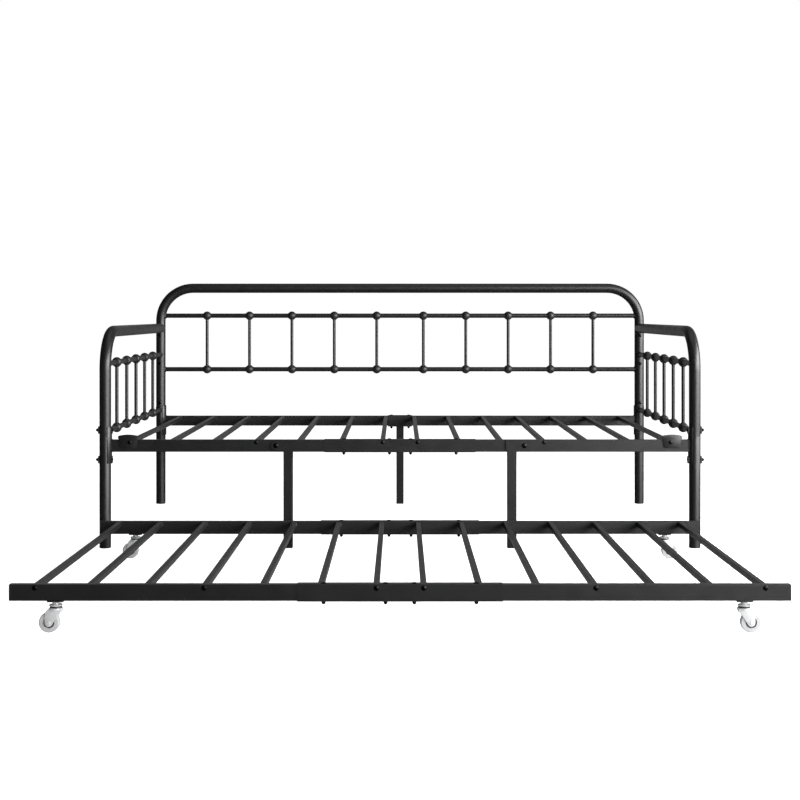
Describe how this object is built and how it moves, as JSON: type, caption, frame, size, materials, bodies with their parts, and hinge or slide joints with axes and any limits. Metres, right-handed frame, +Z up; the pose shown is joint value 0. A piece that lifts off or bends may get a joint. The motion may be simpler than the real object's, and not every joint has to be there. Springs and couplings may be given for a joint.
{
  "type": "metal daybed with pull-out trundle",
  "caption": "Black metal daybed with a curved back hoop, spindle arms and slat deck, with folding front legs and a low rolling slat trundle pulled out in front.",
  "frame": {"origin": "on the floor, at the middle of the layout's outline with the trundle pulled out", "axes": "+X along the bed to the right, +Y from the trundle to the back panel, +Z up"},
  "size_m": [2.014, 2.2054, 0.897],
  "materials": {
    "black_powder_coat": "satin black powder coat",
    "cast_ferrule_paint": "powder coat over a cast ball ferrule",
    "black_fastener": "black oxide fasteners",
    "black_plastic": "moulded black plastic",
    "zinc_steel": "bright zinc plate",
    "gray_wheel": "light gray nylon"
  },
  "bodies": {
    "daybed_frame": {"back_hoop_tube": "black_powder_coat", "back_rails": "black_powder_coat", "back_spindles": "black_powder_coat", "back_ball_ferrules": "cast_ferrule_paint", "left_arm_tube": "black_powder_coat", "right_arm_tube": "black_powder_coat", "arm_rails": "black_powder_coat", "arm_spindles": "black_powder_coat", "arm_ball_ferrules": "cast_ferrule_paint", "arm_end_tabs": "black_powder_coat", "left_front_leg": "black_powder_coat", "right_front_leg": "black_powder_coat", "post_foot_caps": "black_plastic", "deck_front_rail_left": "black_powder_coat", "deck_front_rail_right": "black_powder_coat", "deck_rear_rail_left": "black_powder_coat", "deck_rear_rail_right": "black_powder_coat", "deck_front_sleeve": "black_powder_coat", "rear_center_bracket": "black_powder_coat", "rear_center_leg": "black_powder_coat", "deck_slats_left": "black_powder_coat", "deck_slats_right": "black_powder_coat", "mattress_guards": "black_powder_coat", "rail_end_saddles": "black_powder_coat", "post_bolts": "black_fastener", "saddle_washers": "black_plastic", "post_cap_nuts": "black_fastener", "arm_bolts": "black_fastener", "deck_joiner_bolts": "black_fastener", "deck_slat_screws": "black_fastener"},
    "left_fold_leg": {"left_fold_leg_tube": "black_powder_coat", "left_fold_leg_bracket": "black_powder_coat", "left_fold_leg_pivot": "black_fastener", "left_fold_leg_foot": "black_plastic"},
    "right_fold_leg": {"right_fold_leg_tube": "black_powder_coat", "right_fold_leg_bracket": "black_powder_coat", "right_fold_leg_pivot": "black_fastener", "right_fold_leg_foot": "black_plastic"},
    "trundle": {"trundle_front_rail": "black_powder_coat", "trundle_rear_rail": "black_powder_coat", "trundle_front_sleeve": "black_powder_coat", "trundle_rear_sleeve": "black_powder_coat", "trundle_slats": "black_powder_coat", "trundle_end_caps": "black_plastic", "trundle_slat_screws": "black_fastener", "trundle_joiner_bolts": "black_fastener", "caster_pads": "black_powder_coat", "caster_stems": "zinc_steel"},
    "caster_front_left_swivel": {"caster_front_left_fork": "zinc_steel", "caster_front_left_axle": "zinc_steel"},
    "caster_front_left_roller": {"caster_front_left_wheel": "gray_wheel"},
    "caster_front_right_swivel": {"caster_front_right_fork": "zinc_steel", "caster_front_right_axle": "zinc_steel"},
    "caster_front_right_roller": {"caster_front_right_wheel": "gray_wheel"},
    "caster_rear_left_swivel": {"caster_rear_left_fork": "zinc_steel", "caster_rear_left_axle": "zinc_steel"},
    "caster_rear_left_roller": {"caster_rear_left_wheel": "gray_wheel"},
    "caster_rear_right_swivel": {"caster_rear_right_fork": "zinc_steel", "caster_rear_right_axle": "zinc_steel"},
    "caster_rear_right_roller": {"caster_rear_right_wheel": "gray_wheel"}
  },
  "joints": [
    {"name": "trundle_roll", "type": "slide", "parent": "daybed_frame", "child": "trundle", "axis": [0, 1, 0], "range_m": [-0.1, 1.125]},
    {"name": "left_leg_fold", "type": "hinge", "parent": "daybed_frame", "child": "left_fold_leg", "pos_m": [-0.41, 0.06475, 0.339], "axis": [0, 1, 0], "range_deg": [0, 90]},
    {"name": "right_leg_fold", "type": "hinge", "parent": "daybed_frame", "child": "right_fold_leg", "pos_m": [0.41, 0.06475, 0.339], "axis": [0, -1, 0], "range_deg": [0, 90]},
    {"name": "caster_front_left_swivel_turn", "type": "hinge", "parent": "trundle", "child": "caster_front_left_swivel", "pos_m": [-0.8375, -1.08625, 0.06], "axis": [0, 0, 1], "continuous": true},
    {"name": "caster_front_left_roll", "type": "hinge", "parent": "caster_front_left_swivel", "child": "caster_front_left_roller", "pos_m": [-0.853, -1.08625, 0.025], "axis": [0, 1, 0], "continuous": true},
    {"name": "caster_front_right_swivel_turn", "type": "hinge", "parent": "trundle", "child": "caster_front_right_swivel", "pos_m": [0.8375, -1.08625, 0.06], "axis": [0, 0, 1], "continuous": true},
    {"name": "caster_front_right_roll", "type": "hinge", "parent": "caster_front_right_swivel", "child": "caster_front_right_roller", "pos_m": [0.853, -1.08625, 0.025], "axis": [0, 1, 0], "continuous": true},
    {"name": "caster_rear_left_swivel_turn", "type": "hinge", "parent": "trundle", "child": "caster_rear_left_swivel", "pos_m": [-0.8375, -0.12325, 0.06], "axis": [0, 0, 1], "continuous": true},
    {"name": "caster_rear_left_roll", "type": "hinge", "parent": "caster_rear_left_swivel", "child": "caster_rear_left_roller", "pos_m": [-0.853, -0.12325, 0.025], "axis": [0, 1, 0], "continuous": true},
    {"name": "caster_rear_right_swivel_turn", "type": "hinge", "parent": "trundle", "child": "caster_rear_right_swivel", "pos_m": [0.8375, -0.12325, 0.06], "axis": [0, 0, 1], "continuous": true},
    {"name": "caster_rear_right_roll", "type": "hinge", "parent": "caster_rear_right_swivel", "child": "caster_rear_right_roller", "pos_m": [0.853, -0.12325, 0.025], "axis": [0, 1, 0], "continuous": true}
  ]
}
